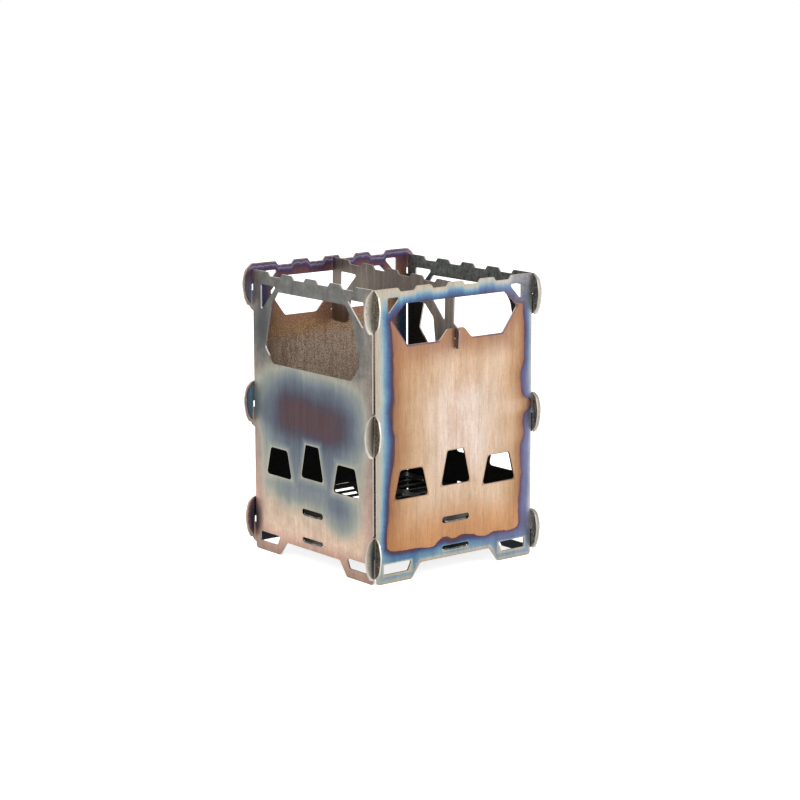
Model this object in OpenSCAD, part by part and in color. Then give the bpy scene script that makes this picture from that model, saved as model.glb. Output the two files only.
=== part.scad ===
// Flat-pack backpacking wood stove: four interlocking sheet panels, a pot divider, a fire grate and an ash plate.
// Millimetres, +Z up, centred on the footprint, front panel facing -Y, feet of the stove on Z = 0.
// Every piece is one flat sheet. Where two sheets cross, each is slotted half way, egg-crate fashion:
// the ears of the front and rear panels are slotted from below, those of the side panels from above.

/* [Overall size] */
// Between the outer faces of two facing panels
body_w = 96; // [92:1:104]
// Height of a panel, from its feet to the tips of its rim
body_h = 137; // [134:1:146]
// Thickness of the sheet
sheet = 0.8; // [0.6:0.1:0.9]
// How far the rear panel rides above its seated height
rear_rise = 2.8; // [0:0.2:3]

/* [Toothed rim] */
// Width of a tooth at its tip
tooth_w = 8; // [6:0.5:9]
// Height of a tooth
tooth_h = 1.9; // [1:0.1:2.5]
// How far a tooth flank leans out
tooth_lean = 1.5; // [0.5:0.1:2]
// Centre of the side teeth from the centre tooth
tooth_pitch = 18.9; // [17.5:0.1:20]
// Where the flat corner tooth starts, from the panel centre
corner_tooth_x = 34; // [32:0.5:36]

/* [Interlocking ears] */
// How far an ear of the front or rear panel stands out past the side panel
end_reach = 5.5; // [5:0.1:6.5]
// How far an ear of a side panel stands out past the front or rear panel
side_reach = 4.3; // [4:0.1:5.5]
// Height of every ear
ear_h = 20; // [18:0.2:21]
// Lower end of the middle ears
mid_ear_z = 60; // [57:0.2:62]
// Lower end of the bottom ears
low_ear_z = 2.8; // [2.4:0.1:3.4]
// Clearance on the outer side of a sheet in its ear slot
slot_play = 0.45; // [0.3:0.05:0.6]
// Extra width at the mouth of the front and rear ear slots
mouth_flare = 0.4; // [0:0.05:0.8]
// Gap between two slot ends, so that the feet and not the slots carry the load
slot_end_gap = 0.3; // [0.2:0.05:0.6]
// Edge of the front and rear panels to the side sheet beside it
end_gap = 0.35; // [0.3:0.05:0.6]
// Edge of the side panels to the front or rear sheet beside it
side_gap = 0.75; // [0.5:0.05:1]

/* [Corner cut-outs] */
// Outer side of every corner triangle, in from the panel face it stands beside
corner_in = 7.8; // [7:0.1:9]
// Level side of the front and rear triangles below the rim tips
end_corner_drop = 4.2; // [3.8:0.1:4.6]
// Length of their level side
end_corner_w = 7.6; // [6.5:0.1:8]
// Length of their upright side
end_corner_h = 8; // [7:0.1:8.4]
// Level side of the side panel triangles below the rim tips
side_corner_drop = 6.3; // [5.5:0.1:7]
// Length of their level side
side_corner_w = 12.8; // [11.5:0.1:13.2]
// Length of their upright side
side_corner_h = 13; // [11.5:0.1:13.4]

/* [Front and rear window] */
// Bar above the window
end_bar_h = 7.4; // [7:0.1:8]
// Its top corners, in from the panel edge
end_top_in = 18.2; // [17:0.1:20]
// Its widest points, in from the panel edge
end_wide_in = 10.4; // [9.6:0.1:12]
// Height of the widest point below the top bar
end_wide_drop = 7.3; // [6.5:0.1:8]
// Ends of its sill, in from the panel edge
end_sill_in = 19.4; // [17:0.1:22]
// Height of the window
end_window_h = 19.4; // [18:0.2:21]
// Half width of the foot of the hump in the sill
hump_foot_x = 9.6; // [8.8:0.1:11]
// Half width of the hump at its top
hump_top_x = 5; // [4.6:0.1:5.8]
// Height of the hump
hump_h = 5.1; // [4.5:0.1:5.6]
// Depth of the divider slot in the hump
hump_slot_h = 5; // [4.5:0.1:5.5]

/* [Side panel window] */
// Bar above the window
side_bar_h = 8.9; // [8.4:0.1:9.6]
// Its top corners, in from the panel edge
side_top_in = 21.4; // [21:0.1:23]
// Lower ends of the upper slants, in from the panel edge
side_shoulder_in = 16.1; // [15.6:0.1:18]
// Drop of the upper slant
side_shoulder_h = 6.8; // [6:0.1:8]
// Its widest points, in from the panel edge
side_wide_in = 10.8; // [9.6:0.1:13]
// Height of the widest point above the sill
side_wide_h = 7.4; // [6:0.2:9]
// Ends of its sill, in from the panel edge
side_sill_in = 17.2; // [15:0.1:20]
// Height of the window
side_window_h = 34.8; // [33:0.2:36]

/* [Vents] */
// Centre of the outer vents from the panel centre
vent_x = 26.5; // [25.4:0.1:27.5]
// Half width of an outer vent at its top
vent_top = 6.6; // [5.6:0.1:7.4]
// Half width of an outer vent at its bottom
vent_foot = 10.1; // [9:0.1:10.8]
// Sill of the outer vents
vent_z = 38.8; // [37:0.1:41]
// Height of the outer vents
vent_h = 13.6; // [12:0.1:15]
// Half width of the middle vent at its top
mid_vent_top = 5; // [4:0.1:5.8]
// Half width of the middle vent at its bottom
mid_vent_foot = 8.8; // [8:0.1:9.6]
// Sill of the middle vent
mid_vent_z = 41.6; // [40:0.1:43]
// Height of the middle vent
mid_vent_h = 16.3; // [15:0.1:18]

/* [Tab slots] */
// Length of a tab slot
tab_slot_w = 16.2; // [15:0.2:18]
// Sill of the upper slots, which carry the grate
tab_slot_z = 23.6; // [23:0.1:25]
// Height of the upper slots
tab_slot_h = 3; // [2.8:0.1:3.2]
// Sill of the lower slots, which carry the ash plate
low_slot_z = 10.4; // [10:0.1:12]
// Height of the lower slots
low_slot_h = 2.3; // [2:0.1:2.6]

/* [Feet] */
// Inner end of a foot on the floor
foot_in_x = 26.6; // [25:0.2:28]
// Inner end of a foot at the arch
arch_x = 21.2; // [19:0.2:22.4]
// Height of the arch between the feet
arch_h = 7.1; // [6:0.1:7.6]
// Inner end of the tall rear arch at its top
rear_arch_x = 10.3; // [8:0.1:12]
// Height of the tall rear arch, up to the grate
rear_arch_h = 21.5; // [20:0.1:22]
// Inner end of the foot opening at its top
foot_open_x = 26.3; // [25.6:0.1:27]
// How much further out its bottom corner lies
foot_open_lean = 2.4; // [1:0.1:3]
// Outer end of the foot opening, in from the panel face it stands beside
foot_open_in = 5.1; // [4.6:0.1:6]
// Sill of the foot opening
foot_open_z = 4.4; // [3.5:0.1:4.6]
// Height of the foot opening
foot_open_h = 4.8; // [4.6:0.1:5.2]

/* [Pot divider] */
// Tips of the divider teeth below those of the panels
divider_drop = 0.5; // [0.2:0.1:1]
// End of the divider to the inner face of the panel beside it
divider_gap = 0.75; // [0.7:0.05:1]
// Shift toward the rear, as the divider leans in its slots
divider_shift = 0.3; // [0.25:0.05:0.35]
// Height of its bar, from the tooth tips
divider_bar_h = 12.7; // [11:0.1:14]
// Ends of the arch at the bar, in from the stove face
divider_arch_in = 22.6; // [22.2:0.1:24]
// Lower ends of its slanted shoulders, in from the stove face
divider_shoulder_in = 16; // [15.6:0.1:18]
// Drop of that shoulder
divider_shoulder_h = 5.8; // [5:0.1:7]
// Level and upright sides of its corner triangles
divider_corner = 13.4; // [11:0.1:14]
// Inner corner of a leg, in from the stove face
leg_in = 14; // [12:0.1:15]
// Length of a leg below the slot it hangs in
leg_below = 5.5; // [4.6:0.1:6]
// Gap between a hook and the face of the panel it hangs over
hook_gap = 0.75; // [0.75:0.05:1]
// Width of a hook
hook_w = 2.1; // [1.8:0.1:2.8]
// Hook tip below the slot it hangs in
hook_below = 4.9; // [4.4:0.1:5]
// Top of the hook arm above the slot
hook_arm_h = 6.5; // [5.5:0.1:6.5]

/* [Fire grate and ash plate] */
// Edge of either plate to the inner face of the front and side panels
plate_gap = 0.6; // [0.5:0.05:1]
// Plain edge of either plate to the inner face of the rear panel
plate_rear_gap = 1.6; // [0.8:0.1:2.4]
// Width of a tab where it leaves the plate
tab_w = 13.8; // [12:0.2:14]
// Width of a tab at its end
tab_end_w = 9.2; // [8:0.2:11]
// How far a tab stands out past the panel
tab_out = 1.5; // [0.5:0.1:2.5]
// Rows of air slots
grate_rows = 9; // [7:1:9]
// Distance between two rows
row_pitch = 8.9; // [8.2:0.1:9.2]
// Width of an air slot
air_slot_w = 6.6; // [5:0.1:6.8]
// Plain border at the ends of the rows
grate_border = 5.1; // [4:0.1:7]
// Distance of either rib from the grate centre
rib_x = 16; // [13:0.2:19]
// Width of a rib
rib_w = 4.6; // [3:0.2:6]

/* [Hidden] */
half = body_w / 2;
inner = half - sheet;
end_edge = inner - end_gap;
side_edge = inner - side_gap;
seat = 0.3;
past = 1;
slot_half = sheet / 2 + slot_play;
hump_slot_z = body_h - end_bar_h - end_window_h + hump_h - hump_slot_h;
lean_angle = atan(rear_rise / (body_w - sheet));
arc_steps = 5;
sheet_colour = [0.62, 0.58, 0.54];
inner_colour = [0.42, 0.4, 0.39];

// Points of one corner [x, y, radius] between its neighbours, as an arc or as the bare point.
function corner_arc(before, here, after) =
    let (
        b = [here[0], here[1]],
        u = ([before[0], before[1]] - b) / norm([before[0], before[1]] - b),
        v = ([after[0], after[1]] - b) / norm([after[0], after[1]] - b),
        open_half = acos(u * v) / 2,
        centre = b + (u + v) / norm(u + v) * here[2] / sin(open_half),
        first = b + u * here[2] / tan(open_half) - centre,
        last = b + v * here[2] / tan(open_half) - centre,
        start = atan2(first[1], first[0]),
        sweep = (atan2(last[1], last[0]) - start + 540) % 360 - 180
    )
    here[2] == 0 ? [b] : [
        for (i = [0:arc_steps])
            centre + here[2] * [cos(start + sweep * i / arc_steps), sin(start + sweep * i / arc_steps)]
    ];

// Outline with a radius on each corner, from a list of [x, y, radius].
function rounded(corners) =
    let (n = len(corners))
    [for (i = [0:n - 1]) each corner_arc(corners[(i + n - 1) % n], corners[i], corners[(i + 1) % n])];

// The right half of a symmetrical outline, followed by its mirror image.
function both_sides(right) =
    concat(right, [for (i = [len(right) - 1:-1:0]) [-right[i][0], right[i][1], right[i][2]]]);

function mirrored(corners) =
    [for (c = corners) [-c[0], c[1], c[2]]];

// Right half of the toothed rim, from the centre tooth to the corner tooth.
function rim(top) =
    let (tip = tooth_w / 2, root = tip + tooth_lean, low = top - tooth_h)
    [
        [tip, top, 0.6],
        [root, low, 0.5],
        [tooth_pitch - root, low, 0.5],
        [tooth_pitch - tip, top, 0.6],
        [tooth_pitch + tip, top, 0.6],
        [tooth_pitch + root, low, 0.5],
        [corner_tooth_x - tooth_lean, low, 0.5],
        [corner_tooth_x, top, 0.6]
    ];

// Outer curve of a leaf-shaped ear, down to its lower end.
function ear_leaf(reach, z) =
    [
        [half + reach * 0.7, z + ear_h * 0.85, 4],
        [half + reach, z + ear_h * 0.54, 12]
    ];

// The tongue beside a slot from below ends blunt; an ear slotted from above runs in to its root.
function end_ear_foot(edge, z) =
    [
        [half + end_reach * 0.8, z + ear_h * 0.18, 6],
        [half + end_reach * 0.49, z, 1],
        [edge, z, 0]
    ];

function side_ear_foot(edge, z) =
    [
        [half + side_reach * 0.68, z + ear_h * 0.16, 4],
        [half + side_reach * 0.15, z + ear_h * 0.045, 2],
        [edge, z, 0.4]
    ];

// The top ear runs on from the rim without a step.
function top_ear(reach, z) =
    concat([[half + 0.3, body_h, 1.2]], ear_leaf(reach, z));

function lower_ear(edge, reach, z) =
    concat([[edge, z + ear_h, 0.6], [half + reach * 0.24, z + ear_h * 0.97, 3]], ear_leaf(reach, z));

// Lower ends of the three ears of an edge, from the top down.
ear_feet = [body_h - ear_h, mid_ear_z, low_ear_z];

// Inner end of either arch [x, z].
low_arch = [arch_x, arch_h];
tall_arch = [rear_arch_x, rear_arch_h];

// Foot and half arch, from the panel edge to the inner end of the arch [x, z].
function foot_outline(edge, arch) =
    [
        [edge, 0, 1.6],
        [foot_in_x, 0, 1.4],
        [arch[0], arch[1], 2]
    ];

function end_outline(edge, reach, arch) =
    both_sides(concat(
        rim(body_h),
        top_ear(reach, ear_feet[0]),
        end_ear_foot(edge, ear_feet[0]),
        lower_ear(edge, reach, ear_feet[1]),
        end_ear_foot(edge, ear_feet[1]),
        lower_ear(edge, reach, ear_feet[2]),
        end_ear_foot(edge, ear_feet[2]),
        foot_outline(edge, arch)
    ));

function side_outline(edge, reach) =
    both_sides(concat(
        rim(body_h),
        top_ear(reach, ear_feet[0]),
        side_ear_foot(edge, ear_feet[0]),
        lower_ear(edge, reach, ear_feet[1]),
        side_ear_foot(edge, ear_feet[1]),
        lower_ear(edge, reach, ear_feet[2]),
        side_ear_foot(edge, ear_feet[2]),
        foot_outline(edge, low_arch)
    ));

// Ear slot open at the bottom, its mouth flared on the outer side.
function slot_from_below(z) =
    let (wall = half + slot_play, crown = z + (ear_h + slot_end_gap) / 2, mouth = z - past)
    [
        [end_edge, crown, 0],
        [end_edge, mouth, 0],
        [wall + mouth_flare, mouth, 0],
        [wall, crown, 0.5]
    ];

// Ear slot open at the top.
function slot_from_above(z) =
    let (wall = half + slot_play, floor_z = z + (ear_h - slot_end_gap) / 2, mouth = z + ear_h + past)
    [
        [side_edge, floor_z, 0],
        [side_edge, mouth, 0],
        [wall, mouth, 0],
        [wall, floor_z, 0.5]
    ];

// Right triangle in an upper corner, its square corner at the top and outside.
function corner_triangle(z, w, h) =
    let (x = half - corner_in)
    [
        [x, z, 0.8],
        [x - w, z, 0.8],
        [x, z - h, 0.8]
    ];

// Six-sided window whose sill rises to a slotted hump that carries the divider.
end_window =
    let (top = body_h - end_bar_h, sill = top - end_window_h, mouth = sill + hump_h)
    both_sides([
        [half - end_top_in, top, 1.5],
        [half - end_wide_in, top - end_wide_drop, 1.8],
        [half - end_sill_in, sill, 2.2],
        [hump_foot_x, sill, 3],
        [hump_top_x, mouth, 2.2],
        [slot_half, mouth, 1.2],
        [slot_half, hump_slot_z, 0.5]
    ]);

side_window =
    let (top = body_h - side_bar_h, sill = top - side_window_h)
    both_sides([
        [half - side_top_in, top, 1.5],
        [half - side_shoulder_in, top - side_shoulder_h, 2],
        [half - side_wide_in, sill + side_wide_h, 2.5],
        [half - side_sill_in, sill, 2.2]
    ]);

mid_vent =
    both_sides([
        [mid_vent_top, mid_vent_z + mid_vent_h, 1.2],
        [mid_vent_foot, mid_vent_z, 1.5]
    ]);

outer_vent = [
    [vent_x + vent_top, vent_z + vent_h, 1.8],
    [vent_x + vent_foot, vent_z, 1.5],
    [vent_x - vent_foot, vent_z, 1.5],
    [vent_x - vent_top, vent_z + vent_h, 1.8]
];

function tab_slot(z, h, r) =
    both_sides([
        [tab_slot_w / 2, z + h, r],
        [tab_slot_w / 2, z, r]
    ]);

foot_opening = [
    [half - foot_open_in, foot_open_z + foot_open_h, 0.7],
    [half - foot_open_in, foot_open_z, 0.7],
    [foot_open_x + foot_open_lean, foot_open_z, 1],
    [foot_open_x, foot_open_z + foot_open_h, 1]
];

foot_cuts = [foot_opening, mirrored(foot_opening)];

// Vents and tab slots of the front and side panels. The rear panel has its tall arch instead.
wall_cuts = [
    mid_vent,
    outer_vent,
    mirrored(outer_vent),
    tab_slot(tab_slot_z, tab_slot_h, 1.2),
    tab_slot(low_slot_z, low_slot_h, 0.8)
];

end_triangle = corner_triangle(body_h - end_corner_drop, end_corner_w, end_corner_h);
side_triangle = corner_triangle(body_h - side_corner_drop, side_corner_w, side_corner_h);
end_slots = [for (z = ear_feet) slot_from_below(z)];
side_slots = [for (z = ear_feet) slot_from_above(z)];

// One flat sheet, lying on Z = 0, with its cut-outs sawn right through.
module cut_sheet(outline, cuts) {
    difference() {
        linear_extrude(height = sheet) polygon(rounded(outline));
        for (c = cuts) {
            translate([0, 0, -past]) linear_extrude(height = sheet + 2 * past) polygon(rounded(c));
        }
    }
}

// Front or rear panel: they share the rim, window, ears and feet, but not the arch and the other cuts.
module end_sheet(arch, cuts) {
    cut_sheet(
        end_outline(end_edge, end_reach, arch),
        concat(cuts, foot_cuts, [end_window, end_triangle, mirrored(end_triangle)],
            end_slots, [for (s = end_slots) mirrored(s)])
    );
}

// Left and right panels are the same piece.
module side_sheet() {
    cut_sheet(
        side_outline(side_edge, side_reach),
        concat(wall_cuts, foot_cuts, [side_window, side_triangle, mirrored(side_triangle)],
            side_slots, [for (s = side_slots) mirrored(s)])
    );
}

// Turns a lying sheet upright, facing along Y.
module stand_across() {
    rotate([90, 0, 0]) children();
}

// Turns a lying sheet upright, facing along X.
module stand_along() {
    rotate([90, 0, 90]) children();
}

// Leans a piece back about the front panel, as the raised rear panel lifts its far end.
module lean_back(z) {
    translate([0, sheet / 2 - half, z])
        rotate([lean_angle, 0, 0])
            translate([0, half - sheet / 2, -z])
                children();
}

module front_panel() {
    color(sheet_colour) translate([0, sheet - half, 0]) stand_across() end_sheet(low_arch, wall_cuts);
}

module rear_panel() {
    color(sheet_colour) translate([0, half, rear_rise]) stand_across() end_sheet(tall_arch, []);
}

module left_panel() {
    color(sheet_colour) translate([-half, 0, 0]) stand_along() side_sheet();
}

module right_panel() {
    color(sheet_colour) translate([inner, 0, 0]) stand_along() side_sheet();
}

// Toothed bar on two legs; the hooks reach through the end windows and drop over the humps.
module pot_divider() {
    top = body_h - divider_drop;
    end_x = inner - divider_gap;
    hang_z = hump_slot_z + seat;
    hook_in = half + hook_gap;
    hook_out = hook_in + hook_w;
    outline = both_sides(concat(rim(top), [
        [end_x, top, 1],
        [end_x, hang_z + hook_arm_h, 0.8],
        [hook_out, hang_z + hook_arm_h - (hook_out - end_x) * 0.62, 1.6],
        [hook_out - 0.3, hang_z - hook_below, 0.9],
        [hook_in + 0.1, hang_z - hook_below, 0.8],
        [hook_in, hang_z, 0.5],
        [end_x, hang_z, 0.3],
        [end_x, hang_z - leg_below, 1.5],
        [half - leg_in, hang_z - leg_below, 3],
        [half - divider_shoulder_in, top - divider_bar_h - divider_shoulder_h, 2],
        [half - divider_arch_in, top - divider_bar_h, 2]
    ]));
    triangle = corner_triangle(top - side_corner_drop, divider_corner, divider_corner);
    color(inner_colour)
        lean_back(hang_z)
            translate([-sheet / 2, divider_shift, 0])
                stand_along()
                    cut_sheet(outline, [triangle, mirrored(triangle)]);
}

// Outline of the front tab of a plate, turned to face one of the three slotted panels.
function plate_tab(turn) =
    let (g = inner - plate_gap, out = half + tab_out)
    [
        for (c = [
            [-tab_w / 2, -g, 0.4],
            [-tab_w / 2 + 0.4, -half, 0.6],
            [-tab_end_w / 2, -out, 0.8],
            [tab_end_w / 2, -out, 0.8],
            [tab_w / 2 - 0.4, -half, 0.6],
            [tab_w / 2, -g, 0.4]
        ])
            [c[0] * cos(turn) - c[1] * sin(turn), c[0] * sin(turn) + c[1] * cos(turn), c[2]]
    ];

// Either plate has a tab on its front and side edges; its rear edge is plain.
plate_outline =
    let (side_x = inner - plate_gap, rear_y = inner - plate_rear_gap)
    concat(
        plate_tab(-90),
        [[-side_x, -side_x, 3]],
        plate_tab(0),
        [[side_x, -side_x, 3]],
        plate_tab(90),
        [[side_x, rear_y, 3], [-side_x, rear_y, 3]]
    );

// Round-ended air slot along X.
function air_slot(x0, x1, y) =
    let (r = air_slot_w / 2 - 0.01)
    [
        [x0, y - air_slot_w / 2, r],
        [x1, y - air_slot_w / 2, r],
        [x1, y + air_slot_w / 2, r],
        [x0, y + air_slot_w / 2, r]
    ];

// Rows of air slots, broken by two ribs that stiffen the sheet. The tabs rest in the upper slots.
module fire_grate() {
    end_x = inner - plate_gap - grate_border;
    rib_in = rib_x - rib_w / 2;
    rib_out = rib_x + rib_w / 2;
    cuts = [
        for (i = [0:grate_rows - 1])
            let (y = (i - (grate_rows - 1) / 2) * row_pitch)
            each [air_slot(-end_x, -rib_out, y), air_slot(-rib_in, rib_in, y), air_slot(rib_out, end_x, y)]
    ];
    color(inner_colour)
        translate([0, 0, tab_slot_z + seat])
            cut_sheet(plate_outline, cuts);
}

// Catches the ash under the grate. The tabs rest in the lower slots.
module ash_plate() {
    color(inner_colour)
        translate([0, 0, low_slot_z + seat])
            cut_sheet(plate_outline, []);
}

front_panel();
rear_panel();
left_panel();
right_panel();
pot_divider();
fire_grate();
ash_plate();
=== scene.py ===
import bpy
from mathutils import Matrix, Vector

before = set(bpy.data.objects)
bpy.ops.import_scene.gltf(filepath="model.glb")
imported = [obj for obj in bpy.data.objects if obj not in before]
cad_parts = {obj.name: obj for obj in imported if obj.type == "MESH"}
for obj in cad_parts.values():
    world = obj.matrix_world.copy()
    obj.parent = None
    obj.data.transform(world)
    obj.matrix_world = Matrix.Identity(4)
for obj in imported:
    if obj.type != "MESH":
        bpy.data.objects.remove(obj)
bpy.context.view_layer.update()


# Front panel. One laser-cut titanium sheet, brushed upright, its ears slotted from below over the side
# panels. The fire has tinted it: tan where it ran hottest, then violet, blue and straw out to the rim.
half_width = 48.0                    # from the middle of a sheet to the line where its ears begin
rim_tips, tooth_height = 137.0, 1.9
tip_margin = 0.4                     # the tints of the rim are measured from a little above its tips
ear_middles = (12.8, 70.0, 127.0)
panel_relief = 0.00003               # depth of grain and soot, in metres


def tone(red, green, blue):
    """A colour given as 0 to 255, as the linear values that Blender wants."""
    return [v / 12.92 if v <= 0.04045 else ((v + 0.055) / 1.055) ** 2.4
            for v in (red / 255, green / 255, blue / 255)] + [1]


def feed(tree, socket, value):
    """Links a socket to another, or sets its own value."""
    if isinstance(value, bpy.types.NodeSocket):
        tree.links.new(value, socket)
    else:
        socket.default_value = value


def add(tree, kind, values=None, **settings):
    """A new node with its settings made and its inputs fed."""
    node = tree.nodes.new(kind)
    for name, value in settings.items():
        setattr(node, name, value)
    for name, value in (values or {}).items():
        feed(tree, node.inputs[name], value)
    return node


def maths(tree, operation, *values, clamp=False):
    """What a Math node makes of its values."""
    node = add(tree, "ShaderNodeMath", operation=operation, use_clamp=clamp)
    for socket, value in zip(node.inputs, values):
        feed(tree, socket, value)
    return node.outputs[0]


def times(tree, product, *others):
    """All the values multiplied."""
    for value in others:
        product = maths(tree, "MULTIPLY", product, value)
    return product


def plus(tree, total, *others):
    """All the values added."""
    for value in others:
        total = maths(tree, "ADD", total, value)
    return total


def minus(tree, first, second):
    """The second value taken from the first."""
    return maths(tree, "SUBTRACT", first, second)


def least(tree, smallest, *others):
    """The smallest of the values."""
    for value in others:
        smallest = maths(tree, "MINIMUM", smallest, value)
    return smallest


def most(tree, largest, *others):
    """The largest of the values."""
    for value in others:
        largest = maths(tree, "MAXIMUM", largest, value)
    return largest


def times_plus(tree, value, amount, base):
    """A value times an amount, on top of a base."""
    return maths(tree, "MULTIPLY_ADD", value, amount, base)


def unsigned(tree, value):
    """A value without its sign."""
    return maths(tree, "ABSOLUTE", value)


def ramp(tree, position, stops):
    """Colours at stops from 0 to 1."""
    node = add(tree, "ShaderNodeValToRGB", {"Fac": position})
    marks = node.color_ramp.elements
    while len(marks) < len(stops):
        marks.new(0.5)
    for mark, (at, colour) in zip(marks, stops):
        mark.position = at
    for mark, (at, colour) in zip(marks, stops):
        mark.color = tone(*colour)
    return node.outputs["Color"]


def scale_ramp(tree, position, low, high, stops):
    """Colours at stops given in mm."""
    share = maths(tree, "DIVIDE", minus(tree, position, low), high - low)
    return ramp(tree, share, [((at - low) / (high - low), colour) for at, colour in stops])


def span(tree, value, low, high, to_low=0.0, to_high=1.0):
    """Eases a value that runs from low to high over to_low to to_high, and stops there."""
    node = add(tree, "ShaderNodeMapRange", {"Value": value, "From Min": low, "From Max": high,
                                            "To Min": to_low, "To Max": to_high},
               interpolation_type="SMOOTHSTEP")
    return node.outputs["Result"]


def line(tree, position, low, high, points, tallest=1.0, bend="AUTO_CLAMPED"):
    """A line drawn through given points: a height, up to tallest, over a position from low to high."""
    along = maths(tree, "DIVIDE", minus(tree, position, low), high - low, clamp=True)
    node = add(tree, "ShaderNodeFloatCurve", {"Value": along})
    curve = node.mapping.curves[0]
    while len(curve.points) < len(points):
        curve.points.new(0.5, 0.5)
    for point, (at, height) in zip(curve.points, points):
        point.location = ((at - low) / (high - low), height / tallest)
        point.handle_type = bend
    node.mapping.update()
    return times(tree, node.outputs["Value"], tallest)


def mixed(tree, share, first, second, blend="MIX"):
    """Two colours, with the second over the first by its share."""
    node = add(tree, "ShaderNodeMix", data_type="RGBA", blend_type=blend)
    feed(tree, node.inputs[0], share)
    feed(tree, node.inputs[6], first)
    feed(tree, node.inputs[7], second)
    return node.outputs[2]


def noise(tree, where, scale, detail=2.0, rough=0.5, stretch=(1, 1, 1)):
    """Noise from 0 to 1 over a place in mm, drawn out where stretch is small."""
    if stretch != (1, 1, 1):
        where = add(tree, "ShaderNodeVectorMath", {0: where, 1: stretch}, operation="MULTIPLY").outputs[0]
    return add(tree, "ShaderNodeTexNoise", {"Vector": where, "Scale": scale, "Detail": detail,
                                            "Roughness": rough}).outputs["Fac"]


def wander(tree, *where_and_how):
    """The same noise about 0, for a border that strays to either side."""
    return minus(tree, noise(tree, *where_and_how), 0.5)


def shader_group(name, inputs, outputs):
    """A new node group, with what it is given and what it puts out."""
    tree = bpy.data.node_groups.new(name, "ShaderNodeTree")
    for label, kind, value in inputs:
        socket = tree.interface.new_socket(label, in_out="INPUT", socket_type="NodeSocket" + kind)
        socket.default_value = value
    for label, kind in outputs:
        tree.interface.new_socket(label, in_out="OUTPUT", socket_type="NodeSocket" + kind)
    return tree, tree.nodes.new("NodeGroupInput").outputs, tree.nodes.new("NodeGroupOutput").inputs


def use(tree, group, **values):
    """Places a group, with an underscore for each space in the names of its inputs."""
    node = tree.nodes.new("ShaderNodeGroup")
    node.node_tree = group
    for name, value in values.items():
        feed(tree, node.inputs[name.replace("_", " ")], value)
    return node.outputs


# Where a point lies on a sheet, in mm as seen from outside, and which side of the sheet it is on.
tree, given, out = shader_group(
    "sheet_place", [("Outward", "Vector", (0, -1, 0))],
    [("Across", "Float"), ("Up", "Float"), ("Place", "Vector"), ("Inside", "Float"), ("Cut Edge", "Float"),
     ("Sill", "Float")])
sheet_place = tree
square_on = 0.6                      # a face looks outward or upward when this much of its normal does
coordinates = tree.nodes.new("ShaderNodeTexCoord").outputs
millimetres = add(tree, "ShaderNodeVectorMath", {0: coordinates["Object"], "Scale": 1000.0},
                  operation="SCALE").outputs[0]
sideways = add(tree, "ShaderNodeVectorMath", {0: (0, 0, 1), 1: given["Outward"]},
               operation="CROSS_PRODUCT").outputs[0]
across = add(tree, "ShaderNodeVectorMath", {0: millimetres, 1: sideways},
             operation="DOT_PRODUCT").outputs["Value"]
facing = add(tree, "ShaderNodeVectorMath", {0: coordinates["Normal"], 1: given["Outward"]},
             operation="DOT_PRODUCT").outputs["Value"]
cut_edge = maths(tree, "LESS_THAN", unsigned(tree, facing), square_on)
upward = add(tree, "ShaderNodeSeparateXYZ", {0: coordinates["Normal"]}).outputs["Z"]
feed(tree, out["Across"], across)
feed(tree, out["Up"], add(tree, "ShaderNodeSeparateXYZ", {0: millimetres}).outputs["Z"])
feed(tree, out["Place"], millimetres)
feed(tree, out["Inside"], maths(tree, "LESS_THAN", facing, 0.0))
feed(tree, out["Cut Edge"], cut_edge)
feed(tree, out["Sill"], times(tree, cut_edge, maths(tree, "GREATER_THAN", upward, square_on)))

# Brushing: fine upright streaks, and the mottle and pits of handled sheet.
tree, given, out = shader_group(
    "brushed_grain", [("Place", "Vector", (0, 0, 0))],
    [("Streak", "Float"), ("Mottle", "Float"), ("Height", "Float")])
brushed_grain = tree
upright = (1, 1, 0.06)
fine = noise(tree, given["Place"], 2.6, 3, 0.7, upright)
broad = noise(tree, given["Place"], 0.34, 4, 0.65, upright)
grit = noise(tree, given["Place"], 1.7, 4, 0.75)
feed(tree, out["Streak"], times_plus(tree, fine, 0.4, times_plus(tree, broad, 0.4, times(tree, grit, 0.2))))
feed(tree, out["Mottle"], grit)
feed(tree, out["Height"], times_plus(tree, grit, 0.35, fine))

# How far a point lies outside an opening with straight sides, which may lean in or out.
tree, given, out = shader_group(
    "cut_out", [("Across", "Float", 0), ("Up", "Float", 0), ("Centre", "Float", 0), ("Sill", "Float", 0),
                ("Top", "Float", 10), ("Half At Sill", "Float", 5), ("Half At Top", "Float", 5)],
    [("Outside", "Float")])
cut_out = tree
half_here = add(tree, "ShaderNodeMapRange", {
    "Value": given["Up"], "From Min": given["Sill"], "From Max": given["Top"],
    "To Min": given["Half At Sill"], "To Max": given["Half At Top"]}).outputs["Result"]
beside = minus(tree, unsigned(tree, minus(tree, given["Across"], given["Centre"])), half_here)
over, under = minus(tree, given["Up"], given["Top"]), minus(tree, given["Sill"], given["Up"])
feed(tree, out["Outside"], most(tree, beside, over, under))


def opening(tree, across, up, middle, sill, top, half_at_sill, half_at_top):
    """Distance outside an opening, given in mm on the sheet."""
    return use(tree, cut_out, Across=across, Up=up, Centre=middle, Sill=sill, Top=top,
               Half_At_Sill=half_at_sill, Half_At_Top=half_at_top)["Outside"]


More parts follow.
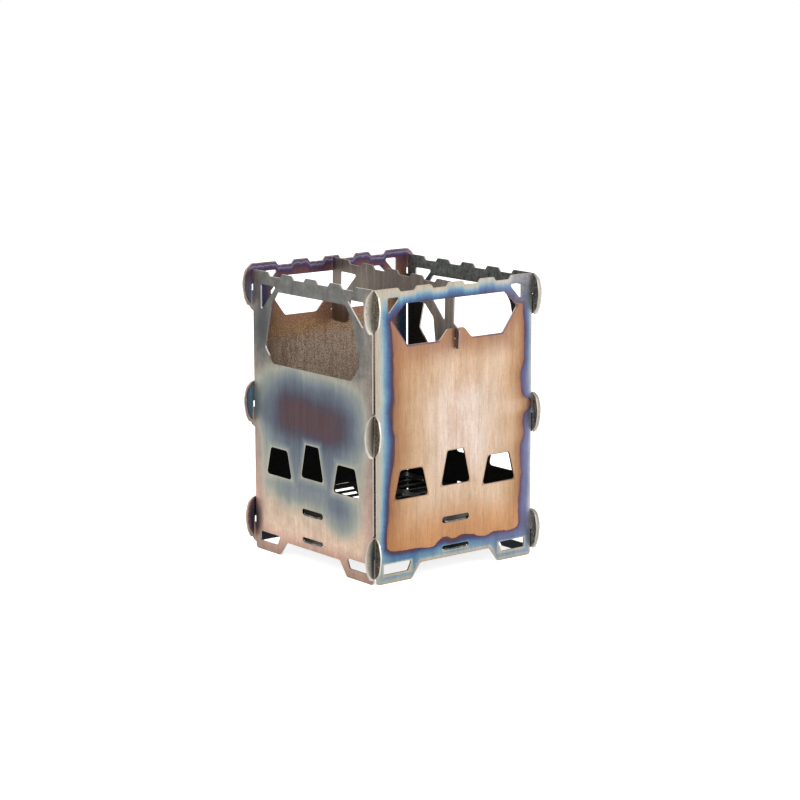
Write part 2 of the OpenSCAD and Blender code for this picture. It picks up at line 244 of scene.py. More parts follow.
# A round patch, 1 at its centre and 0 at its reach.
tree, given, out = shader_group(
    "soft_patch", [("Across", "Float", 0), ("Up", "Float", 0), ("Centre Across", "Float", 0),
                   ("Centre Up", "Float", 0), ("Reach Across", "Float", 10), ("Reach Up", "Float", 10)],
    [("Amount", "Float")])
soft_patch = tree
aside = maths(tree, "DIVIDE", minus(tree, given["Across"], given["Centre Across"]), given["Reach Across"])
above = maths(tree, "DIVIDE", minus(tree, given["Up"], given["Centre Up"]), given["Reach Up"])
apart = maths(tree, "SQRT", times_plus(tree, aside, aside, times(tree, above, above)))
feed(tree, out["Amount"], span(tree, apart, 0.0, 1.0, 1.0, 0.0))

# How far a point lies below the toothed rim, whose tips are at a given height.
tree, given, out = shader_group(
    "below_rim", [("Across", "Float", 0), ("Up", "Float", 0), ("Tips", "Float", rim_tips)],
    [("Below", "Float")])
below_rim = tree
teeth = line(tree, unsigned(tree, given["Across"]), 0, half_width, [
    (0, 1), (4, 1), (5.5, 0), (13.4, 0), (14.9, 1), (22.9, 1), (24.4, 0), (32.5, 0), (34, 1),
    (half_width, 1)], bend="VECTOR")
below_roots = minus(tree, minus(tree, given["Tips"], tooth_height), given["Up"])
feed(tree, out["Below"], times_plus(tree, teeth, tooth_height, below_roots))

# How deep a point lies inside the curved outline of the ear it is on.
tree, given, out = shader_group(
    "ear_depth", [("Across", "Float", 0), ("Up", "Float", 0)], [("Depth", "Float")])
ear_depth = tree
nearest = least(tree, *[unsigned(tree, minus(tree, given["Up"], middle)) for middle in ear_middles])
reach = line(tree, nearest, 0, 10, [(0, 5.5), (3, 5.3), (6, 4.5), (8, 3.3), (9.3, 1.8), (10, 0)], 6)
feed(tree, out["Depth"], minus(tree, reach, minus(tree, unsigned(tree, given["Across"]), half_width)))

# Distance to the border of the tan field, and how far a point lies from that border to the sheet's edge.
# The border is drawn as four lines: how far in it lies on the left and right, and how high below and above.
tree, given, out = shader_group(
    "tan_border", [("Across", "Float", 0), ("Up", "Float", 0), ("Place", "Vector", (0, 0, 0))],
    [("Inward", "Float"), ("Outward Share", "Float")])
tan_border = tree
across, up = given["Across"], given["Up"]
side = unsigned(tree, across)
drawn_from = 47.0                    # where the left and right lines measure from
arch_foot, arch_crown, arch_height = 26.6, 21.2, 7.1
left_line = line(tree, up, 0, 140, [
    (0, 6), (17, 6), (24, 6.2), (32, 7.1), (42, 7.5), (52, 9.2), (60, 10.7), (67, 10.8), (73, 9.7),
    (80, 9.7), (86, 10.4), (96, 9.8), (105, 10), (117, 9.1), (124, 8.4), (140, 8)], 14)
right_line = line(tree, up, 0, 140, [
    (0, 7.6), (16, 7.7), (23, 8), (34, 7.1), (42, 6.5), (53, 7), (61, 4.9), (66, 5.4), (71, 3.4),
    (74.5, 0.4), (77.5, 3.9), (82, 6.5), (88, 7), (97, 5), (110, 4.9), (122, 6), (140, 6)], 14)
low_line = line(tree, across, -half_width, half_width, [
    (-48, 18.6), (-41, 16.6), (-37, 14.8), (-24, 14.2), (-14, 13.4), (-11, 15.2), (-6, 17), (-1, 15.6),
    (5, 16.6), (10, 15.6), (18, 13.8), (25, 15), (33, 14.2), (38, 15), (40, 17.4), (48, 20)], 22)
top_line = line(tree, across, -half_width, half_width, [
    (-48, 121), (-36, 122.8), (-30, 126.8), (0, 127.6), (30, 127.8), (36, 123.8), (48, 122.6)], 140)
from_left = minus(tree, plus(tree, across, drawn_from), left_line)
from_right = minus(tree, minus(tree, drawn_from, across), right_line)
inward = maths(tree, "SMOOTH_MIN", from_left, from_right, 2.0)
inward = maths(tree, "SMOOTH_MIN", inward, minus(tree, up, low_line), 1.5)
inward = maths(tree, "SMOOTH_MIN", inward, minus(tree, top_line, up), 1.0)
inward = times_plus(tree, wander(tree, given["Place"], 0.35, 3, 0.55), 1.1, inward)
arch = times(tree, span(tree, side, arch_foot, arch_crown), arch_height)
rim_gap = use(tree, below_rim, Across=across, Up=up, Tips=rim_tips + tip_margin)["Below"]
to_edge = least(tree, minus(tree, half_width - 0.4, side), rim_gap, minus(tree, up, arch))
to_edge = most(tree, to_edge, 0.05)  # never nothing, because it divides below
foot_hole = opening(tree, side, up, middle=34.8, sill=4.2, top=9.0, half_at_sill=8.2, half_at_top=8.2)
lower_slot = opening(tree, side, up, middle=0.0, sill=10.2, top=12.5, half_at_sill=7.6, half_at_top=7.6)
hole_gap = least(tree, foot_hole, plus(tree, lower_slot, 0.4))
outward = most(tree, times(tree, inward, -1.0), 0.0)
share = maths(tree, "DIVIDE", outward, plus(tree, outward, to_edge))
share = maths(tree, "POWER", share, span(tree, across, -44.0, -30.0, 1.0, 1.4))
low_down = times(tree, span(tree, up, 14.6, 11.0), 0.66)
level = minus(tree, span(tree, to_edge, 0.2, 2.2, 0.95, 0.42), share)
share = times_plus(tree, low_down, level, share)
share = plus(tree, share, span(tree, hole_gap, 0.2, 1.2, 0.36, 0.0))
share = times_plus(tree, wander(tree, given["Place"], 0.11, 2), 0.2, share)
share = times_plus(tree, wander(tree, given["Place"], 1.3, 4, 0.75), 0.2, share)
share = maths(tree, "MULTIPLY", share, maths(tree, "GREATER_THAN", outward, 0.0), clamp=True)
feed(tree, out["Inward"], inward)
feed(tree, out["Outward Share"], share)

# The inner face of a panel: brown soot with a coarse speckle, golden and ruddy round a window, tinted
# along the rim, charred and darkened by painted shade round the fire, and slate below it. Window Gap is
# the distance outside a window.
tree, given, out = shader_group(
    "sooty_face", [("Across", "Float", 0), ("Up", "Float", 0), ("Place", "Vector", (0, 0, 0)),
                   ("Char", "Float", 0), ("Rim Tips", "Float", rim_tips), ("Blue Side", "Float", 0),
                   ("Window Gap", "Float", 60)],
    [("Color", "Color"), ("Height", "Float")])
sooty_face = tree
across, up = given["Across"], given["Up"]
side = unsigned(tree, across)
speckle = noise(tree, given["Place"], 2.4, 4, 0.8)
cloud = noise(tree, given["Place"], 0.06, 3, 0.5)
soot = ramp(tree, speckle, [(0.37, (90, 77, 67)), (0.48, (194, 171, 152)), (0.62, (250, 233, 216))])
ruddy = ramp(tree, speckle, [(0.38, (160, 117, 98)), (0.62, (234, 186, 162))])
drips = noise(tree, given["Place"], 0.5, 4, 0.7, (1, 1, 0.1))
drip_shade = ramp(tree, drips, [(0.34, (216, 210, 204)), (0.54, (255, 255, 255))])
soot = mixed(tree, 1.0, soot, drip_shade, "MULTIPLY")
soot = mixed(tree, span(tree, times_plus(tree, cloud, 14.0, up), 110.0, 124.0), soot, ruddy)
high_gold = times(tree, span(tree, times_plus(tree, cloud, 10.0, up), 100.0, 116.0), 0.55)
soot = mixed(tree, high_gold, soot, ramp(tree, speckle, [(0.38, (132, 96, 66)), (0.62, (232, 190, 148))]))
near = times_plus(tree, cloud, 8.0, given["Window Gap"])
window_gold = times(tree, span(tree, near, 17.0, 10.0, 0.0, 0.75), span(tree, across, -8.0, 10.0, 0.2, 1.0))
soot = mixed(tree, window_gold, soot, ramp(tree, speckle, [(0.38, (124, 95, 64)), (0.62, (244, 200, 152))]))
soot = mixed(tree, span(tree, near, 9.0, 5.5, 0.0, 0.85), soot, ruddy)
soot = mixed(tree, span(tree, side, 24.0, 42.0, 0.0, 0.6), soot, tone(122, 92, 70))
below = use(tree, below_rim, Across=across, Up=up, Tips=given["Rim Tips"])["Below"]
below = times_plus(tree, wander(tree, given["Place"], 0.45, 4, 0.65), 2.6, below)
rim = scale_ramp(tree, below, 0, 16, [
    (0, (232, 218, 206)), (0.5, (196, 180, 176)), (0.9, (132, 112, 128)), (1.7, (118, 98, 128)),
    (2.1, (172, 174, 198)), (2.5, (122, 112, 150)), (3.6, (100, 78, 108)), (5, (128, 92, 100)),
    (8, (156, 110, 106)), (16, (168, 120, 104))])
soot = mixed(tree, span(tree, below, 14.0, 8.0), soot, rim)
navy = times(tree, span(tree, across, -38.0, -43.0), span(tree, up, 128.0, 120.0))
soot = mixed(tree, times(tree, navy, given["Blue Side"]), soot,
             ramp(tree, speckle, [(0.35, (44, 62, 88)), (0.65, (88, 112, 140))]))
ragged = times_plus(tree, wander(tree, given["Place"], 0.18, 4, 0.65), 9.0, across)
corner = times(tree, span(tree, ragged, 33.0, 42.0), span(tree, up, 134.0, 129.0),
               span(tree, times_plus(tree, cloud, 8.0, up), 108.0, 124.0))
over_window = times(tree, span(tree, up, 133.0, 132.2), span(tree, up, 126.0, 128.0))
indigo = most(tree, corner, times(tree, over_window, span(tree, side, 34.0, 31.0)))
soot = mixed(tree, times(tree, indigo, given["Blue Side"]), soot,
             ramp(tree, speckle, [(0.35, (54, 58, 96)), (0.65, (88, 92, 136))]))
# Black from mid-height down and wherever Char is set: partly char and partly painted shade of the closed fire
# box.
fire = most(tree, span(tree, times_plus(tree, cloud, 26.0, up), 92.0, 58.0), given["Char"])
soot = mixed(tree, fire, soot, ramp(tree, speckle, [(0.35, (22, 24, 24)), (0.65, (58, 60, 58))]))
below_fire = span(tree, up, 27.0, 22.0)
soot = mixed(tree, below_fire, soot, ramp(tree, speckle, [(0.35, (50, 54, 66)), (0.65, (86, 90, 100))]))
feed(tree, out["Color"], soot)
feed(tree, out["Height"], speckle)


def sheet_material(name):
    """A new material, its node tree and its shader."""
    material = bpy.data.materials.new(name)
    material.use_nodes = True
    return material, material.node_tree, material.node_tree.nodes["Principled BSDF"]


def finish_sheet(tree, shader, colour, rough, height, relief):
    """Sets a sheet's shader: bare metal of a colour and roughness, with its relief in metres."""
    feed(tree, shader.inputs["Base Color"], colour)
    feed(tree, shader.inputs["Metallic"], 1.0)
    feed(tree, shader.inputs["Roughness"], rough)
    bump = add(tree, "ShaderNodeBump", {"Height": height, "Distance": relief, "Strength": 0.5})
    feed(tree, shader.inputs["Normal"], bump.outputs["Normal"])


def lay_on(node, material):
    """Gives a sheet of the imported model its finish."""
    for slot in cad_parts[node].material_slots:
        slot.material = material


def shaded(tree, colour, value):
    """A colour made darker or lighter by a value."""
    grey = add(tree, "ShaderNodeCombineColor", {0: value, 1: value, 2: value}).outputs[0]
    return mixed(tree, 1.0, colour, grey, "MULTIPLY")


def inner_face(tree, place, **values):
    """Colour and height of a panel's inner face."""
    return use(tree, sooty_face, Across=place["Across"], Up=place["Up"], Place=place["Place"], **values)


def panel_finish(tree, shader, place, face, inner, ears, edge):
    """Joins outer face, inner face, ears and cut edges, and grains the whole sheet."""
    grain = use(tree, brushed_grain, Place=place["Place"])
    face = shaded(tree, face, times_plus(tree, grain["Streak"], 1.5, 0.25))
    colour = mixed(tree, place["Inside"], face, inner["Color"])
    ear = span(tree, unsigned(tree, place["Across"]), half_width - 0.3, half_width + 0.3)
    colour = mixed(tree, ear, colour, ears)
    colour = mixed(tree, place["Cut Edge"], colour, edge)
    sooty = times(tree, place["Inside"], minus(tree, 1.0, ear))
    rough = times_plus(tree, grain["Streak"], 0.2, 0.32)
    rough = times_plus(tree, sooty, span(tree, place["Up"], 22.0, 28.0, -0.1, 0.26), rough)
    height = times_plus(tree, times(tree, inner["Height"], sooty), 0.8, grain["Height"])
    finish_sheet(tree, shader, colour, rough, height, panel_relief)


def vent_gap(tree, place):
    """Distance outside the nearest of the three vents."""
    across, up = place["Across"], place["Up"]
    tall = opening(tree, across, up, middle=0.0, sill=41.6, top=57.9, half_at_sill=8.8, half_at_top=5.0)
    side = unsigned(tree, across)
    low = opening(tree, side, up, middle=26.5, sill=38.8, top=52.4, half_at_sill=10.1, half_at_top=6.6)
    return least(tree, tall, low)


def end_window_gap(tree, place, raised=0.0):
    """Distance outside the lower part of an end panel's window."""
    return opening(tree, place["Across"], place["Up"], middle=0.0, sill=110.2 + raised, top=122.3 + raised,
                   half_at_sill=28.6, half_at_top=37.6)


def burnt_openings(tree, place):
    """1 over the vents and the upper slot, whose cut edges the fire has burnt."""
    height = times(tree, span(tree, place["Up"], 15.0, 17.0), span(tree, place["Up"], 64.0, 62.0))
    return times(tree, height, span(tree, unsigned(tree, place["Across"]), 42.0, 40.0))


blue_bands = [(0.0, (105, 75, 75)), (0.05, (84, 68, 88)), (0.13, (84, 80, 112)), (0.23, (82, 103, 139)),
              (0.34, (94, 130, 163)), (0.46, (122, 155, 178)), (0.58, (158, 176, 182)),
              (0.7, (184, 184, 172)), (0.86, (194, 183, 164)), (1.0, (184, 170, 156))]
violet_bands = [(0.0, (112, 82, 84)), (0.05, (106, 92, 118)), (0.14, (112, 108, 146)),
                (0.34, (118, 120, 155)), (0.52, (132, 138, 166)), (0.66, (158, 163, 182)),
                (0.8, (188, 190, 194)), (1.0, (190, 184, 176))]


def front_bands(tree, place, share):
    """Tints round the tan field: blue at the left and low down, violet at the right, dull at a corner."""
    across, up = place["Across"], place["Up"]
    calm = times(tree, span(tree, across, 6.0, 34.0), span(tree, up, 96.0, 84.0, 0.5, 0.92),
                 span(tree, up, 7.0, 13.0, 0.3, 1.0))
    bands = mixed(tree, calm, ramp(tree, share, blue_bands), ramp(tree, share, violet_bands))
    corner = times(tree, span(tree, across, 30.0, 41.0), span(tree, up, 118.0, 130.0), 0.85)
    dull = noise(tree, place["Place"], 0.7, 3, 0.7)
    return mixed(tree, corner, bands, ramp(tree, dull, [(0.35, (116, 112, 122)), (0.65, (150, 148, 150))]))


def front_field(tree, place, inward):
    """The tan field: pale at its middle, partly its own tint and partly a painted highlight, rusty and
    scratched, ruddy under the window.
    """
    across, up = place["Across"], place["Up"]
    inward = times(tree, inward, span(tree, across, 12.0, 34.0, 1.0, 1.8))
    field = scale_ramp(tree, inward, 0, 30, [
        (0, (108, 78, 76)), (0.5, (132, 97, 86)), (1.5, (157, 111, 82)), (3, (168, 124, 92)),
        (8, (193, 156, 120)), (14, (207, 171, 138)), (23, (217, 188, 160)), (30, (220, 192, 166))])
    # The pale middle is partly the field's own tint and partly a painted highlight: the broad soft reflection
    # down the centre.
    mid_across = line(tree, across, -half_width, half_width, [
        (-48, 0), (-26, 0.1), (-12, 0.45), (0, 1), (9, 1), (20, 0.42), (34, 0.1), (48, 0)])
    mid_up = line(tree, up, 10, 130, [
        (10, 0), (30, 0.1), (46, 0.4), (58, 1), (76, 1), (90, 0.42), (104, 0.04), (130, 0)])
    field = mixed(tree, times(tree, mid_across, mid_up, 0.9), field, tone(232, 214, 202))
    foot = ramp(tree, span(tree, across, -42.0, -20.0), [(0.0, (188, 132, 88)), (1.0, (214, 159, 114))])
    field = mixed(tree, span(tree, up, 36.0, 14.0, 0.0, 0.82), field, foot)
    window = end_window_gap(tree, place)
    field = mixed(tree, span(tree, window, 13.0, 0.0, 0.0, 0.85), field, tone(164, 120, 98))
    violet_line = times(tree, span(tree, window, 1.0, 0.3, 0.0, 0.9),
                        span(tree, unsigned(tree, across), 9.0, 10.2))
    field = mixed(tree, violet_line, field, tone(104, 82, 108))
    rust = span(tree, noise(tree, place["Place"], 0.07, 5, 0.7, (1, 1, 0.45)), 0.44, 0.68)
    field = mixed(tree, times(tree, rust, 0.4), field, tone(184, 136, 94))
    scratched = noise(tree, place["Place"], 0.9, 5, 0.8, (1, 1, 0.05))
    field = mixed(tree, span(tree, scratched, 0.52, 0.72, 0.0, 0.5), field, tone(168, 122, 84))
    pitted = noise(tree, place["Place"], 2.2, 3, 0.8)
    field = mixed(tree, span(tree, pitted, 0.52, 0.7, 0.0, 0.34), field, tone(136, 94, 66))
    return mixed(tree, times(tree, span(tree, across, 36.0, 44.0), 0.4), field, tone(176, 132, 108))


def front_ears(tree, place):
    """Pale ears, mottled, with painted slot shade where they meet the side sheet, and scorched blue at the
    foot.
    """
    mottle = noise(tree, place["Place"], 0.5, 5, 0.75)
    out_along = times_plus(tree, minus(tree, mottle, 0.5), 2.6, unsigned(tree, place["Across"]))
    # The dark end of this ramp, where the ear meets the side sheet, is painted shade of the slot.
    ears = scale_ramp(tree, out_along, 48, 54, [
        (48, (84, 82, 76)), (49, (122, 118, 107)), (50.4, (158, 151, 138)), (52, (182, 175, 161)),
        (54, (196, 188, 175))])
    ears = mixed(tree, span(tree, place["Up"], 90.0, 118.0, 0.0, 0.5), ears, tone(214, 209, 196))
    ears = mixed(tree, span(tree, mottle, 0.48, 0.66, 0.0, 0.6), ears, tone(116, 106, 95))
    scorch = times(tree, span(tree, out_along, 51.2, 49.4), span(tree, place["Up"], 21.0, 15.0), 0.85)
    ears = mixed(tree, scorch, ears, tone(58, 88, 104))
    depth = use(tree, ear_depth, Across=place["Across"], Up=place["Up"])["Depth"]
    return mixed(tree, span(tree, depth, 0.9, 0.4), ears, tone(218, 210, 197))


material, tree, shader = sheet_material("front_sheet")
place = use(tree, sheet_place, Outward=(0, -1, 0))
border = use(tree, tan_border, Across=place["Across"], Up=place["Up"], Place=place["Place"])
face = mixed(tree, maths(tree, "GREATER_THAN", border["Inward"], 0.0),
             front_bands(tree, place, border["Outward Share"]), front_field(tree, place, border["Inward"]))
face = mixed(tree, span(tree, vent_gap(tree, place), 0.7, 0.0, 0.0, 0.5), face, tone(120, 78, 60))
# Outside the vents and slots the cut edges are pale bare metal, set bright partly as a painted highlight.
edge = mixed(tree, burnt_openings(tree, place), tone(216, 208, 196), tone(58, 36, 30))
panel_finish(tree, shader, place, face, inner_face(tree, place), front_ears(tree, place), edge)
lay_on("front_panel", material)

# Rear panel. A titanium sheet with the front's rim, window, ears and feet, but a tall arch for air and ash
# in place of the vents. It rides a little high in its ear slots, and is tinted at its rim and ears.
rear_raise = 2.8
material, tree, shader = sheet_material("rear_sheet")
place = use(tree, sheet_place, Outward=(0, 1, 0))
seated_up = minus(tree, place["Up"], rear_raise)
seated_place = add(tree, "ShaderNodeVectorMath", {0: place["Place"], 1: (0, 0, -rear_raise)},
                   operation="ADD").outputs[0]
border = use(tree, tan_border, Across=place["Across"], Up=seated_up, Place=seated_place)
field = scale_ramp(tree, border["Inward"], 0, 30, [
    (0, (108, 78, 76)), (1.5, (157, 111, 82)), (3, (168, 124, 92)), (8, (186, 146, 110)),
    (16, (200, 160, 124)), (30, (206, 170, 136))])
face = mixed(tree, maths(tree, "GREATER_THAN", border["Inward"], 0.0),
             ramp(tree, border["Outward Share"], blue_bands), field)
depth = use(tree, ear_depth, Across=place["Across"], Up=seated_up)["Depth"]
depth = times_plus(tree, wander(tree, place["Place"], 0.45, 3, 0.6), 1.6, depth)
ears = scale_ramp(tree, place["Up"], 0, 140, [
    (14, (84, 80, 104)), (26, (96, 92, 112)), (62, (104, 142, 172)), (76, (118, 158, 186)),
    (118, (150, 182, 208)), (126, (140, 150, 182)), (134, (128, 108, 132))])
ears = mixed(tree, span(tree, depth, 2.8, 1.9), ears, tone(140, 112, 124))
ears = mixed(tree, span(tree, depth, 1.5, 0.9), ears, tone(224, 214, 202))
inner = inner_face(tree, place, Rim_Tips=rim_tips + tip_margin + rear_raise, Blue_Side=1.0,
                   Window_Gap=end_window_gap(tree, place, rear_raise))
# The cut edges are pale bare metal, set bright partly as a painted highlight.
panel_finish(tree, shader, place, face, inner, ears, tone(206, 196, 184))
lay_on("rear_panel", material)


# Left panel. The side sheets are cut from the same titanium, slotted from above, and stand inside the ears
# of the end panels. They ran cooler: dull silver at the top, slate and maroon over the fire, straw and
# pink down to the feet.
def patch(tree, place, centre, reach, amount):
    """A soft round patch on a sheet, as strong as its amount."""
    spot = use(tree, soft_patch, Across=place["Across"], Up=place["Up"], Centre_Across=centre[0],
               Centre_Up=centre[1], Reach_Across=reach[0], Reach_Up=reach[1])
    return times(tree, spot["Amount"], amount)


def side_heat(tree, place, vents):
    """How hot a side panel ran, from 0 to 1: a broad bloom over the vents and a patch under the front one."""
    streaky = wander(tree, place["Place"], 0.22, 4, 0.7, (1, 1, 0.12))
    wavy_up = times_plus(tree, wander(tree, place["Place"], 0.04, 3), 8.0, place["Up"])
    wavy_up = times_plus(tree, streaky, 6.0, wavy_up)
    sway = wander(tree, place["Place"], 0.055, 3, 0.5, (1.3, 1.3, 0.7))
    wavy_across = times_plus(tree, sway, 14.0, place["Across"])
    heat = line(tree, wavy_up, 10, 104, [
        (10, 0), (18, 0.02), (23, 0.08), (28, 0.22), (33, 0.42), (40, 0.52), (48, 0.58), (56, 0.66),
        (60, 0.78), (64, 0.92), (68, 1), (73, 1), (77, 0.92), (81, 0.78), (85, 0.64), (89, 0.44), (93, 0.2),
        (98, 0.05), (104, 0)])
    width = line(tree, wavy_across, -50, 50, [
        (-50, 0), (-45, 0.12), (-41, 0.34), (-36, 0.58), (-30, 0.74), (-24, 0.9), (-18, 1), (12, 1),
        (18, 0.94), (25, 0.78), (31, 0.62), (37, 0.4), (42, 0.16), (46, 0.04), (50, 0)])
    low_patch = patch(tree, place, centre=(23.0, 26.5), reach=(20.0, 16.0), amount=0.34)
    heat = plus(tree, times(tree, heat, width), low_patch)
    heat = times(tree, heat, span(tree, vents, 0.0, 4.2, 0.6, 1.0))
    return maths(tree, "MULTIPLY_ADD", wander(tree, place["Place"], 1.0, 3, 0.7), 0.1, heat, clamp=True)


def side_face(tree, place):
    """Outer face of a side panel: the bloom of heat, over sheet that is paler toward its edges."""
    across, up = place["Across"], place["Up"]
    vents = vent_gap(tree, place)
    cool = scale_ramp(tree, up, 0, 140, [
        (0, (184, 154, 138)), (8, (206, 168, 152)), (14, (232, 203, 180)), (22, (216, 194, 172)),
        (34, (192, 176, 160)), (50, (170, 156, 146)), (80, (154, 146, 138)), (92, (156, 150, 140)),
        (100, (136, 133, 127)), (110, (122, 121, 117)), (137, (126, 126, 122))])
    flank = scale_ramp(tree, up, 0, 140, [
        (4, (180, 152, 138)), (20, (206, 174, 160)), (28, (200, 166, 152)), (48, (180, 154, 142)),
        (68, (160, 145, 135)), (84, (154, 140, 131)), (100, (140, 133, 125)), (120, (150, 144, 138)),
        (137, (140, 136, 128))])
    cool = mixed(tree, span(tree, unsigned(tree, across), 38.0, 42.5, 0.0, 0.9), cool, flank)
    cloudy = times_plus(tree, noise(tree, place["Place"], 0.16, 5, 0.75),
                       span(tree, up, 80.0, 100.0, 0.8, 1.8), span(tree, up, 80.0, 100.0, 0.6, 0.08))
    cool = shaded(tree, cool, cloudy)
    cool = shaded(tree, cool, span(tree, across, 43.5, 47.5, 1.0, 0.72))
    heat = side_heat(tree, place, vents)
    bloom = ramp(tree, heat, [
        (0.0, (190, 184, 166)), (0.18, (178, 178, 165)), (0.34, (150, 156, 150)), (0.46, (136, 143, 148)),
        (0.55, (120, 128, 137)), (0.65, (106, 114, 126)), (0.78, (92, 94, 107)), (0.89, (86, 77, 88)),
        (1.0, (93, 73, 78))])
    face = mixed(tree, span(tree, heat, 0.03, 0.26), cool, bloom)
    for centre, reach, amount, colour in (
            ((-40.0, 110.0), (13.0, 27.0), 0.95, (86, 89, 90)),
            # The next two patches, beside the low and middle ears at the left end of the sheet, are painted
            # shadow of those ears.
            ((-46.5, 14.0), (7.0, 14.0), 0.9, (80, 70, 66)),
            ((-46.0, 70.0), (6.0, 16.0), 0.5, (112, 96, 88))):
        face = mixed(tree, patch(tree, place, centre, reach, amount), face, tone(*colour))
    return mixed(tree, span(tree, vents, 1.2, 0.2, 0.0, 0.5), face, tone(196, 192, 176))


def side_ears(tree, place):
    """Dull, mottled ears with a bright border along the outline, a painted highlight of the cut edge."""
    mottle = noise(tree, place["Place"], 0.9, 4, 0.75)
    ears = ramp(tree, mottle, [(0.36, (84, 84, 78)), (0.5, (132, 129, 120)), (0.64, (180, 176, 166))])
    depth = use(tree, ear_depth, Across=place["Across"], Up=place["Up"])["Depth"]
    # The bright border along the outline is a painted highlight of the ear's cut edge.
    return mixed(tree, span(tree, depth, 1.3, 0.8), ears, tone(204, 194, 186))


def side_edge(tree, place, bright):
    """Cut edges of a side panel: bright, partly pale bare metal and partly a painted highlight, but brown on
    the window sill and burnt in the vents and slots.
    """
    # The bright colour is partly pale bare metal and partly a painted highlight along the edges.
    edge = mixed(tree, burnt_openings(tree, place), tone(*bright), tone(52, 40, 36))
    up = place["Up"]
    sill = times(tree, place["Sill"], span(tree, up, 98.0, 96.0), span(tree, up, 88.0, 90.0))
    return mixed(tree, sill, edge, tone(126, 96, 84))


material, tree, shader = sheet_material("left_sheet")
place = use(tree, sheet_place, Outward=(-1, 0, 0))
panel_finish(tree, shader, place, side_face(tree, place), inner_face(tree, place, Char=0.3),
             side_ears(tree, place), side_edge(tree, place, (240, 234, 226)))
lay_on("left_panel", material)

# Right panel. The same titanium sheet as the left, slotted from above, facing away from the camera: it
# shows the inner face, blackened partly by the fire and partly by painted shade, and the backs of its two
# front ears.
material, tree, shader = sheet_material("right_sheet")
place = use(tree, sheet_place, Outward=(1, 0, 0))
# Char near 1 blackens the whole inner face: partly char and partly painted shade.
inner = inner_face(tree, place, Char=0.94)
ashen = ramp(tree, noise(tree, place["Place"], 0.5, 4, 0.75), [(0.32, (78, 82, 80)), (0.68, (146, 150, 146))])
inner = {"Color": mixed(tree, span(tree, place["Up"], 120.0, 132.0), inner["Color"], ashen),
         "Height": inner["Height"]}
panel_finish(tree, shader, place, side_face(tree, place), inner, side_ears(tree, place),
             side_edge(tree, place, (190, 184, 176)))
lay_on("right_panel", material)

# Pot divider. A toothed bar cut from the same titanium sheet, hooked over the sills of the two end windows.
# It stands in the flames, so it has gone an even warm grey-brown.
material, tree, shader = sheet_material("divider_sheet")
place = use(tree, sheet_place, Outward=(-1, 0, 0))
grain = use(tree, brushed_grain, Place=place["Place"])
colour = ramp(tree, grain["Streak"], [(0.3, (94, 86, 79)), (0.5, (138, 128, 119)), (0.7, (184, 173, 162))])
colour = mixed(tree, span(tree, place["Up"], 130.0, 108.0, 0.0, 0.4), colour, tone(94, 89, 81))
colour = mixed(tree, place["Cut Edge"], colour, tone(160, 150, 146))
rough = times_plus(tree, grain["Streak"], 0.25, 0.3)
finish_sheet(tree, shader, colour, rough, grain["Height"], panel_relief)
lay_on("pot_divider", material)

# Fire grate. A laser-cut titanium plate with rows of air slots, resting on three tabs in the upper slots of
# the front and side panels. Its bars are pale bare metal, brightened partly as a painted highlight,
# between patches of burnt-on soot.
plate_relief = 0.00002               # depth of grain, in metres
material, tree, shader = sheet_material("grate_sheet")
place = use(tree, sheet_place, Outward=(0, 0, 1))
grain = use(tree, brushed_grain, Place=place["Place"])
# The pale stops are bare metal, set brighter partly as a painted highlight on the bars.
colour = ramp(tree, grain["Mottle"], [(0.3, (84, 86, 86)), (0.5, (130, 131, 129)), (0.7, (182, 181, 176))])
burnt = noise(tree, place["Place"], 0.1, 5, 0.75)
colour = mixed(tree, span(tree, burnt, 0.46, 0.62, 0.0, 0.75), colour, tone(74, 62, 54))
rough = times_plus(tree, burnt, 0.5, 0.1)
finish_sheet(tree, shader, colour, rough, grain["Height"], plate_relief)
lay_on("fire_grate", material)

# Ash plate. A plain laser-cut titanium sheet that catches the ash. It lies on its three tabs in the lower
# slots of the front and side panels, dark, with pale ash on its upper face.
material, tree, shader = sheet_material("ash_sheet")
place = use(tree, sheet_place, Outward=(0, 0, 1))
grain = use(tree, brushed_grain, Place=place["Place"])
colour = ramp(tree, grain["Mottle"], [(0.3, (66, 71, 69)), (0.5, (96, 101, 97)), (0.7, (136, 138, 133))])
dusty = noise(tree, place["Place"], 0.12, 4, 0.7)
colour = mixed(tree, times(tree, span(tree, dusty, 0.48, 0.66), 0.6), colour, tone(186, 180, 170))
rough = times_plus(tree, grain["Mottle"], 0.3, 0.2)
finish_sheet(tree, shader, colour, rough, grain["Height"], plate_relief)
lay_on("ash_plate", material)

# Floor. A wide sweep of matt white paper under the stove. It shows as white to the camera and in the
# metal, and keeps the stove's soft shadow.
half_sweep = 6.0
paper_glow, mirrored_glow = 0.8, 0.2
floor_mesh = bpy.data.meshes.new("floor")
corners = [(-half_sweep, -half_sweep, 0), (half_sweep, -half_sweep, 0), (half_sweep, half_sweep, 0),
           (-half_sweep, half_sweep, 0)]
floor_mesh.from_pydata(corners, [], [(0, 1, 2, 3)])
floor = bpy.data.objects.new("floor", floor_mesh)
bpy.context.scene.collection.objects.link(floor)
material, tree, shader = sheet_material("white_sweep")
shader.inputs["Roughness"].default_value = 0.9
shader.inputs["Specular IOR Level"].default_value = 0.0
paper = noise(tree, add(tree, "ShaderNodeTexCoord").outputs["Object"], 60.0, 2)
feed(tree, shader.inputs["Base Color"], ramp(tree, paper, [(0.3, (229, 229, 228)), (0.7, (233, 233, 232))]))
shader.inputs["Emission Color"].default_value = (1, 1, 1, 1)
seen = tree.nodes.new("ShaderNodeLightPath").outputs
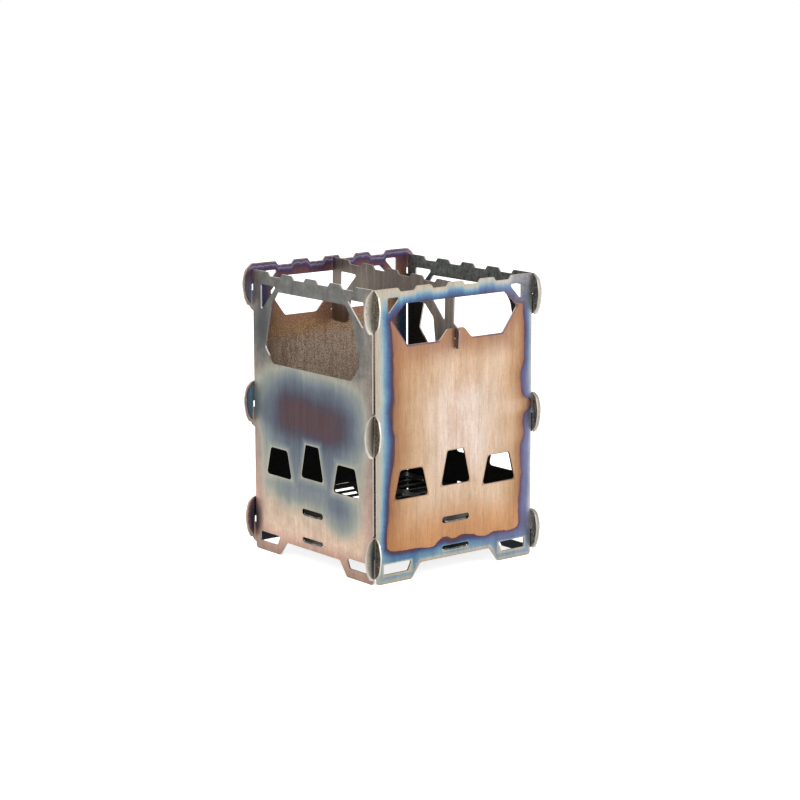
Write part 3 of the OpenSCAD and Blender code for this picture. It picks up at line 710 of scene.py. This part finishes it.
feed(tree, shader.inputs["Emission Strength"], times_plus(
    tree, seen["Is Glossy Ray"], mirrored_glow, times(tree, seen["Is Camera Ray"], paper_glow)))
floor_mesh.materials.append(material)

# Lamps. A white room with one large soft box on either side of the camera and one overhead. The room
# lights the stove a little less than it shows to the camera.
room_light = 0.72
world = bpy.data.worlds.new("studio")
bpy.context.scene.world = world
world.use_nodes = True
tree = world.node_tree
seen = tree.nodes.new("ShaderNodeLightPath").outputs
feed(tree, tree.nodes["Background"].inputs["Strength"],
     times_plus(tree, seen["Is Camera Ray"], 1.0 - room_light, room_light))
tree.nodes["Background"].inputs["Color"].default_value = (1, 1, 1, 1)


def soft_box(name, at, size, power):
    """A square lamp aimed at the middle of the stove."""
    lamp = bpy.data.lights.new(name, "AREA")
    lamp.shape = "SQUARE"
    lamp.size = size
    lamp.energy = power
    box = bpy.data.objects.new(name, lamp)
    box.location = at
    box.rotation_euler = (Vector(at) - Vector((0, 0, 0.07))).to_track_quat("Z", "Y").to_euler()
    bpy.context.scene.collection.objects.link(box)


soft_box("left_soft_box", (-0.9, -0.7, 0.7), 0.7, 3.0)
soft_box("right_soft_box", (0.7, -1.1, 0.5), 0.7, 3.0)
soft_box("overhead_soft_box", (0.1, 0.2, 1.3), 0.9, 5.0)

# Camera. A little above the stove and round to its left, far enough off to flatten it. Its place, lens and
# shift are fitted to the outlines of the two panels that face it.
aim = Vector((0, 0, 0.07382))
back = Vector((-0.60931, -0.77086, 0.18579))
distance, roll = 1.1413, -0.00287    # metres and radians
camera_data = bpy.data.cameras.new("camera")
camera_data.lens = 106.69
camera_data.sensor_width = 36
camera_data.shift_x = 0.0102
camera_data.shift_y = 0.0014
camera_data.clip_start = 0.05
camera = bpy.data.objects.new("camera", camera_data)
camera.matrix_world = (Matrix.Translation(aim + back * distance)
                       @ back.to_track_quat("Z", "Y").to_matrix().to_4x4() @ Matrix.Rotation(roll, 4, "Z"))
bpy.context.scene.collection.objects.link(camera)
bpy.context.scene.camera = camera
bpy.context.scene.view_settings.view_transform = "Standard"
